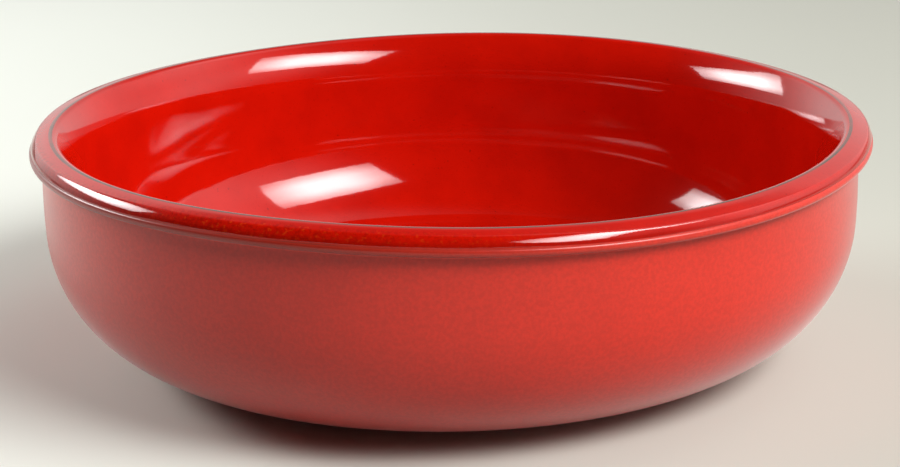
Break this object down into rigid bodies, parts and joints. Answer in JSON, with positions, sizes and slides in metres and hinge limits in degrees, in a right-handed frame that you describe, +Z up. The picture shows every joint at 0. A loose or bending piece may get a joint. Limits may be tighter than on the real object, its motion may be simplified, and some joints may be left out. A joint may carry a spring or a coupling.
{
  "type": "serving bowl",
  "caption": "Low round ceramic serving bowl with a rolled rim, upright wall, rounded belly and turned foot ring, glazed red inside and satin red outside.",
  "frame": {"origin": "centre of the foot ring's standing face, on the surface that the bowl stands on", "axes": "+Z up along the bowl's axis of turning; X and Y are level and interchangeable"},
  "size_m": [0.26, 0.26, 0.0739],
  "materials": {
    "fired_clay": "bare fired red clay, fine grained and matte, smoothed where it stands",
    "gloss_red_glaze": "thick high-gloss warm red glaze that thins to brown over sharp edges",
    "satin_red_slip": "thin burnished red slip with a satin sheen and a fine speckled grain"
  },
  "bodies": {
    "root": {"clay_body": "fired_clay", "inner_gloss_glaze": "gloss_red_glaze", "outer_satin_slip": "satin_red_slip", "foot_recess_slip": "satin_red_slip"}
  },
  "joints": []
}
